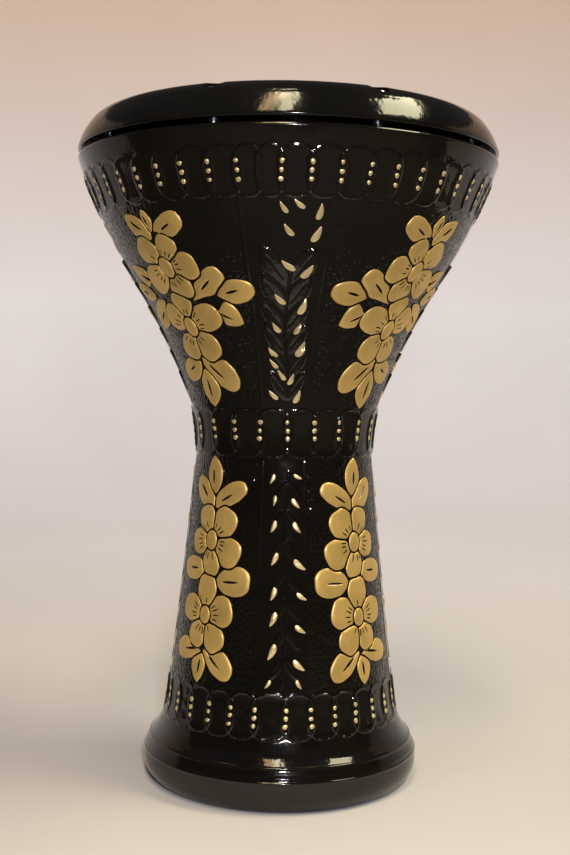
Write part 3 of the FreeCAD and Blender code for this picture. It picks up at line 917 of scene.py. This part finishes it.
def add_petal(ornament, outline, ends, slit, top):
    """A pillowy petal or leaf: black side, gold top, and a black slit if it has one."""
    count = len(outline)
    centre, share = spine_points(outline, ends)
    if slit:
        start, end = (np.array(p, float) for p in ends)
        normal = np.array((start[1] - end[1], end[0] - start[0]))
        normal /= max(math.hypot(*normal), 1e-9)
        side = np.sign((outline - centre) @ normal)
        half = 0.85 * np.clip(4 * share * (1 - share), 0, 1) ** 0.7
        inner = centre + (side * half)[:, None] * normal
    else:
        inner = centre
    levels = np.array((0.0, 0.12, 0.3, 0.48, 0.62, 0.74, 0.84, 0.91, 0.96, 0.99, 1.0))
    rings = [inner + (outline - inner) * level for level in levels]
    lifts = [pillow(np.maximum(-to_edge(ring, outline), 0), top) for ring in rings]
    lifts[-1][:] = PETAL_EDGE
    if slit:
        lifts[0] = lifts[0] - 0.25
        rings.insert(0, centre.copy())
        lifts.insert(0, lifts[0] - 0.75)
    rings.append(outline + (outline - centre) * 0.004)
    lifts.append(np.full(count, -0.45))
    flat = np.concatenate(rings)
    lift = np.concatenate(lifts)
    faces = grid_faces(len(rings), count, False, True)
    ids = np.zeros(len(faces), int)
    ids[-count:] = 1
    if slit:
        ids[:count] = 1
    ornament.add(flat[:, 0], flat[:, 1], lift, faces[:, ::-1], ids.tolist())


def add_stroke(ornament, start, end, outline):
    """A thin black stroke lying on a gold petal."""
    start = np.array(start, float)
    end = np.array(end, float)
    axis = end - start
    normal = np.array((-axis[1], axis[0])) / max(math.hypot(*axis), 1e-9)
    share = np.linspace(0, 1, 9)
    half = 0.45 * np.sin(math.pi * np.clip(share * 0.94 + 0.03, 0, 1)) ** 0.6
    across = np.array((-1.0, 0.0, 1.0))
    grid = start + share[:, None, None] * axis + (half[:, None] * across)[..., None] * normal
    flat = grid.reshape(-1, 2)
    depth = np.maximum(-to_edge(flat, outline), 0)
    lift = pillow(depth, PETAL_TOP) + np.tile((0.01, 0.06, 0.01), len(share))
    faces = grid_faces(len(share), 3, False, False)
    ornament.add(flat[:, 0], flat[:, 1], lift, faces, [1] * len(faces))


def make_spray(pieces, flowers):
    """Builds one spray flat: leaves under petals under flower centres."""
    ornament = Ornament()
    outlines = [leaf_outline(piece) for piece in pieces]
    ovals = [oval_outline(flower) for flower in flowers]
    for index, piece in enumerate(pieces):
        base = np.array(piece[0:2], float)
        axis = np.array(piece[2:4], float) - base
        slit = piece[8]
        middle = outlines[index].mean(0)
        near = [k for k in range(len(pieces)) if k != index
                and np.linalg.norm(outlines[k].mean(0) - middle) < 45]
        same = [outlines[k] for k in near if bool(pieces[k][8]) == bool(slit)]
        higher = [outlines[k] for k in near if slit and not pieces[k][8]] + ovals
        ends = (base + 0.3 * axis, base + 0.7 * axis)
        cut = trim(outlines[index], ends, same, higher)
        if slit:
            ends = (base + slit[0] * axis, base + slit[1] * axis)
        add_petal(ornament, cut, ends, slit, PETAL_TOP)
        for flower in flowers:
            if index in flower[5]:
                add_stamens(ornament, flower, cut, index)
    for flower, oval in zip(flowers, ovals):
        centre = np.array(flower[:2], float)
        ends = (centre + (0, 0.3 * flower[3]), centre - (0, 0.3 * flower[3]))
        add_petal(ornament, oval, ends, None, FLOWER_TOP)
    return ornament


def add_stamens(ornament, flower, outline, seed):
    """Three or four short black strokes fanning out from the flower's centre over a petal."""
    chance = random.Random(seed)
    centre = np.array(flower[:2], float)
    heart = outline.mean(0)
    heading = math.atan2(heart[1] - centre[1], heart[0] - centre[0])
    count = chance.choice((3, 4, 4))
    for k in range(count):
        turn = heading + math.radians((k - (count - 1) / 2) * 17 + chance.uniform(-3, 3))
        way = np.array((math.cos(turn), math.sin(turn)))
        start = centre + way * (flower[3] + 1.3 + chance.uniform(0, 0.8))
        end = start + way * chance.uniform(3.4, 5.8)
        if (to_edge(np.array((start, end)), outline) < -0.5).all():
            add_stroke(ornament, start, end, outline)


def add_dome(ornament, outline, centre, top):
    """A small drop of paint or cast bead with a rounded top."""
    count = len(outline)
    rings = [centre + (outline - centre) * level for level in (0.05, 0.4, 0.7, 0.88, 1.0, 1.0)]
    lifts = [top, top * 0.93, top * 0.72, top * 0.42, 0.05, -0.35]
    flat = np.concatenate(rings)
    lift = np.repeat(lifts, count)
    faces = grid_faces(len(rings), count, False, True)[:, ::-1]
    ornament.add(flat[:, 0], flat[:, 1], lift, faces, [0] * len(faces))


def teardrop_outline(x, y, lean, length, points=28):
    """A teardrop whose point leans away from straight up."""
    turn = np.arange(points) * math.tau / points
    along = -np.cos(turn) * length / 2
    width = 0.25 * length * np.sin(turn) * (1 - 0.6 * (along / (length / 2) * 0.5 + 0.5))
    bow = 0.06 * length * (1 - (2 * along / length) ** 2)
    angle = math.radians(lean)
    up = np.array((math.sin(angle), math.cos(angle)))
    side = np.array((math.cos(angle), -math.sin(angle)))
    bow = bow if lean % 360 < 180 else -bow
    return np.array((x, y)) + along[:, None] * up + (width + bow)[:, None] * side


def make_drops(drops, middle_height):
    """The gold teardrops of one plain panel."""
    ornament = Ornament()
    for x, height, lean, length in drops:
        outline = teardrop_outline(x, slant_at(height) - slant_at(middle_height), lean, length)
        add_dome(ornament, outline[::-1], outline.mean(0), 0.5)
    return ornament


def make_dots(name, band, seed):
    """Three gold dots in every column of a band, each a little different. Their x is measured at
    the band's own radius.
    """
    middle, _, columns, first, seam, _, spacing, step = band
    chance = random.Random(seed)
    ornament = Ornament()
    pitch = math.radians(360.0 - seam) / (columns - 1)
    radius = float(radius_at(middle))
    turn = np.arange(20) * math.tau / 20
    for column in range(columns):
        x = (math.radians(first) + column * pitch) * radius
        sway = chance.uniform(-0.35, 0.35)
        for row in (-1, 0, 1):
            size = 1.45 * chance.uniform(0.86, 1.1)
            uneven = 1 + 0.08 * np.sin(2 * turn + chance.uniform(0, 6)) + 0.04 * np.sin(3 * turn)
            centre = np.array((x + row * sway + chance.uniform(-0.2, 0.2),
                               step + row * spacing + chance.uniform(-0.25, 0.25)))
            ring = np.stack((np.cos(turn), np.sin(turn)), -1) * (size * uneven)[:, None]
            add_dome(ornament, centre + ring, centre, 0.55)
    flat = np.concatenate(ornament.flat)
    slant = float(slant_at(middle)) + flat[:, 1]
    turn = flat[:, 0] / radius
    points = on_shell(turn, slant, flat[:, 2] + relief_at(turn, slant))
    dots = make_object(name, points, ornament.faces, ornament.ids, (MATERIALS["pale gold"],), 60)
    finish_piece(dots, "shell_body")


# ---------------------------------------------------------------- floor, lights, camera

CAMERA_PLACE_M = (0.00045, -0.8057, 0.2655)
CAMERA_TILT = 87.6
CAMERA_ROLL = 0.871
LENS = 50.53
RIM_FRONT_M = (0, -0.137, 0.42)
AMBER, LEMON = (1.0, 0.68, 0.34), (1.0, 0.9, 0.58)


def make_cove():
    """A pale table and wall like a photographer's cove, with painted shade: a floor darker in front
    of the drum and beside it, standing in for a dim room, and a wall darker and warmer towards its
    top.
    """
    flat, bend, wall_top = 1.4, 1.2, 1.8
    section = [(0.001, 0.0), (0.3, 0.0), (0.8, 0.0), (flat, 0.0)]
    for step in range(1, 17):
        turn = math.radians(step * 90 / 16)
        section.append((flat + bend * math.sin(turn), bend - bend * math.cos(turn)))
    section.append((flat + bend, wall_top))
    material, tree, shader, place = new_material("pale_cloth_painted_shade", (0.72, 0.68, 0.64), 0.85)
    # The fold noise is a real bump and also painted shade: the cloth's colour is lighter on the
    # folds' tops and darker in their hollows.
    folds_and_fold_shade = noise(tree, place, 1.3, 3.0)
    pale = ramp(tree, folds_and_fold_shade, ((0.3, (0.69, 0.665, 0.69)), (0.7, (0.74, 0.715, 0.75))))
    # Painted shade: the floor's colour darkens in front of the drum and beside it, standing in for
    # a dim room, so the black enamel mirrors dark there.
    split = add_node(tree, "SeparateXYZ", {"Vector": place})
    aside = calculate(tree, "ABSOLUTE", split.outputs["X"])
    sides = ramp(tree, spread(tree, aside, 0.0, 1.0, 0.0, flat + bend),
                 ((0.0, (0.0, 0.0, 0.0)), (0.27, (0.6, 0.6, 0.6)), (0.42, (0.75, 0.75, 0.75)),
                  (0.58, (0.3, 0.3, 0.3)), (1.0, (0.5, 0.5, 0.5))))
    back = calculate(tree, "SUBTRACT", split.outputs["Y"], sides)
    painted_room_shade = ramp(tree, spread(tree, back, 0.0, 1.0, -1.4, -0.3),
               ((0.0, (0.3, 0.26, 0.22)), (0.6, (0.18, 0.15, 0.12)), (0.86, (0.14, 0.12, 0.1)),
                (0.97, (0.18, 0.155, 0.13)), (1.0, (1.0, 1.0, 1.0))))
    # Painted shade: the wall's colour turns darker and warmer towards its top.
    painted_warm_shade = ramp(tree, spread(tree, split.outputs["Z"], 0.0, 1.0, 0.45, 1.4),
                ((0.0, (1.0, 1.0, 1.0)), (1.0, (0.7, 0.53, 0.37))))
    tree.links.new(multiply(tree, multiply(tree, pale, painted_room_shade), painted_warm_shade), shader.inputs["Base Color"])
    weave = noise(tree, place, 900.0, 2.0)
    first = bump(tree, shader, weave, 0.1, 0.0003)
    bump(tree, shader, folds_and_fold_shade, 0.3, 0.03, first)
    cove = lathe("pale_floor", np.array(section) / MM, 96, (material,), closed=False, sharp=80)
    cove.location.z = -0.0004


def area_light(name, position, target, size, power, colour):
    """A rectangular light at a place in metres, facing a target."""
    data = bpy.data.lights.new(name, "AREA")
    data.shape = "RECTANGLE"
    data.size, data.size_y = size
    data.energy = power
    data.color = colour
    light = put(name, data)
    light.location = position
    way = Vector(target) - Vector(position)
    light.rotation_mode = "QUATERNION"
    light.rotation_quaternion = way.to_track_quat("-Z", "Y")


def make_window():
    """A slanting bright window high up on the right: a glowing panel."""
    corners = [(0.88, -0.2, 2.0), (1.2, -0.85, 1.62), (1.5, -0.35, 1.47), (0.98, 0.5, 1.85)]
    material = bpy.data.materials.new("window_glow")
    material.use_nodes = True
    shader = material.node_tree.nodes["Principled BSDF"]
    shader.inputs["Base Color"].default_value = (0.8, 0.8, 0.7, 1)
    shader.inputs["Emission Color"].default_value = (1.0, 0.91, 0.6, 1)
    shader.inputs["Emission Strength"].default_value = 11.5
    make_object("window_right", corners, [(0, 1, 2, 3)], None, (material,))


def make_lights():
    """Soft studio light: a window on the right, lamps high in front, and light on the wall."""
    make_window()
    lights = (
        ("lamp_left", (-0.168, -0.76, 1.557), RIM_FRONT_M, (0.15, 0.9), 3.8, AMBER),
        ("lamp_right", (-0.018, -0.76, 1.557), RIM_FRONT_M, (0.15, 0.9), 6.4, LEMON),
        ("wall_wash", (0.0, 0.5, 2.4), (0, 2.5, 1.84), (2.2, 0.7), 58, (1.0, 0.98, 0.99)),
        ("near_camera", (0.05, -0.86, 0.42), (0, 0, 0.24), (0.05, 0.035), 4.3, (0.97, 0.97, 1.0)),
    )
    for light in lights:
        area_light(*light)
    world = bpy.data.worlds.new("room")
    world.use_nodes = True
    background = world.node_tree.nodes["Background"]
    background.inputs["Color"].default_value = (0.5, 0.47, 0.47, 1)
    background.inputs["Strength"].default_value = 0.13
    bpy.context.scene.world = world


def make_camera():
    """A camera in front of the drum, a little above its middle, tilted down and slightly rolled."""
    data = bpy.data.cameras.new("camera")
    data.sensor_fit = "VERTICAL"
    data.sensor_height = 36.0
    data.lens = LENS
    data.clip_start = 0.05
    data.clip_end = 20.0
    camera = put("camera", data)
    tilt = Matrix.Rotation(math.radians(CAMERA_TILT), 4, "X")
    roll = Matrix.Rotation(math.radians(CAMERA_ROLL), 4, "Z")
    camera.matrix_world = Matrix.Translation(CAMERA_PLACE_M) @ tilt @ roll
    bpy.context.scene.camera = camera


# ---------------------------------------------------------------- the whole drum

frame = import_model()
MATERIALS = {
    "black": black_enamel(),
    "gold": gold_paint("gold_paint", (0.68, 0.455, 0.142), 0.45),
    "pale gold": gold_paint("pale_gold_paint", (0.88, 0.7, 0.38), 0.7),
    "cast": cast_aluminium(),
    "hoop": turned_aluminium(),
    "steel": zinc_steel(),
    "film": head_plastic(),
}


def paint_node(name, material):
    """Gives a CAD node a better material, smooth but with its edges kept."""
    mesh = frame["nodes"][name].data
    mesh.materials.clear()
    mesh.materials.append(material)
    mesh.polygons.foreach_set("use_smooth", np.ones(len(mesh.polygons), bool))
    mesh.set_sharp_from_angle(angle=math.radians(30))


def main():
    """Builds every piece, the floor, the lights and the camera."""
    bpy.context.scene.view_settings.view_transform = "Standard"
    black, cast = MATERIALS["black"], MATERIALS["cast"]
    make_shell((black, cast))
    make_flange((black,))
    make_ring((black,))
    for index in range(BOLTS):
        make_screw(index, MATERIALS["steel"])
        make_washer(index, MATERIALS["steel"])
    paint_node("head_film", MATERIALS["film"])
    paint_node("head_hoop", MATERIALS["hoop"])
    sprays = {
        "upper": make_spray(UPPER_SPRAY, UPPER_FLOWERS),
        "lower": make_spray(LOWER_SPRAY, LOWER_FLOWERS),
    }
    for number, (upper_angle, lower_angle, mirrored) in enumerate(SPRAY_PLACES, start=1):
        for level, angle in (("upper", upper_angle), ("lower", lower_angle)):
            slant = float(slant_at(SPRAY_HEIGHTS[level]))
            sprays[level].place("gold_spray_%s_%d" % (level, number), angle, slant, mirrored, False)
    for level, drops in (("bowl", BOWL_DROPS), ("neck", NECK_DROPS)):
        middle = DROP_HEIGHTS[level]
        ornament = make_drops(drops, middle)
        for number, angle in enumerate(PLAIN_PANELS, start=1):
            name = "gold_drops_%s_%d" % (level, number)
            ornament.place(name, angle, float(slant_at(middle)), False, True, "pale gold")
    for seed, (level, band) in enumerate(BANDS.items()):
        make_dots("gold_dots_" + level, band, seed)
    make_cove()
    make_lights()
    make_camera()


main()
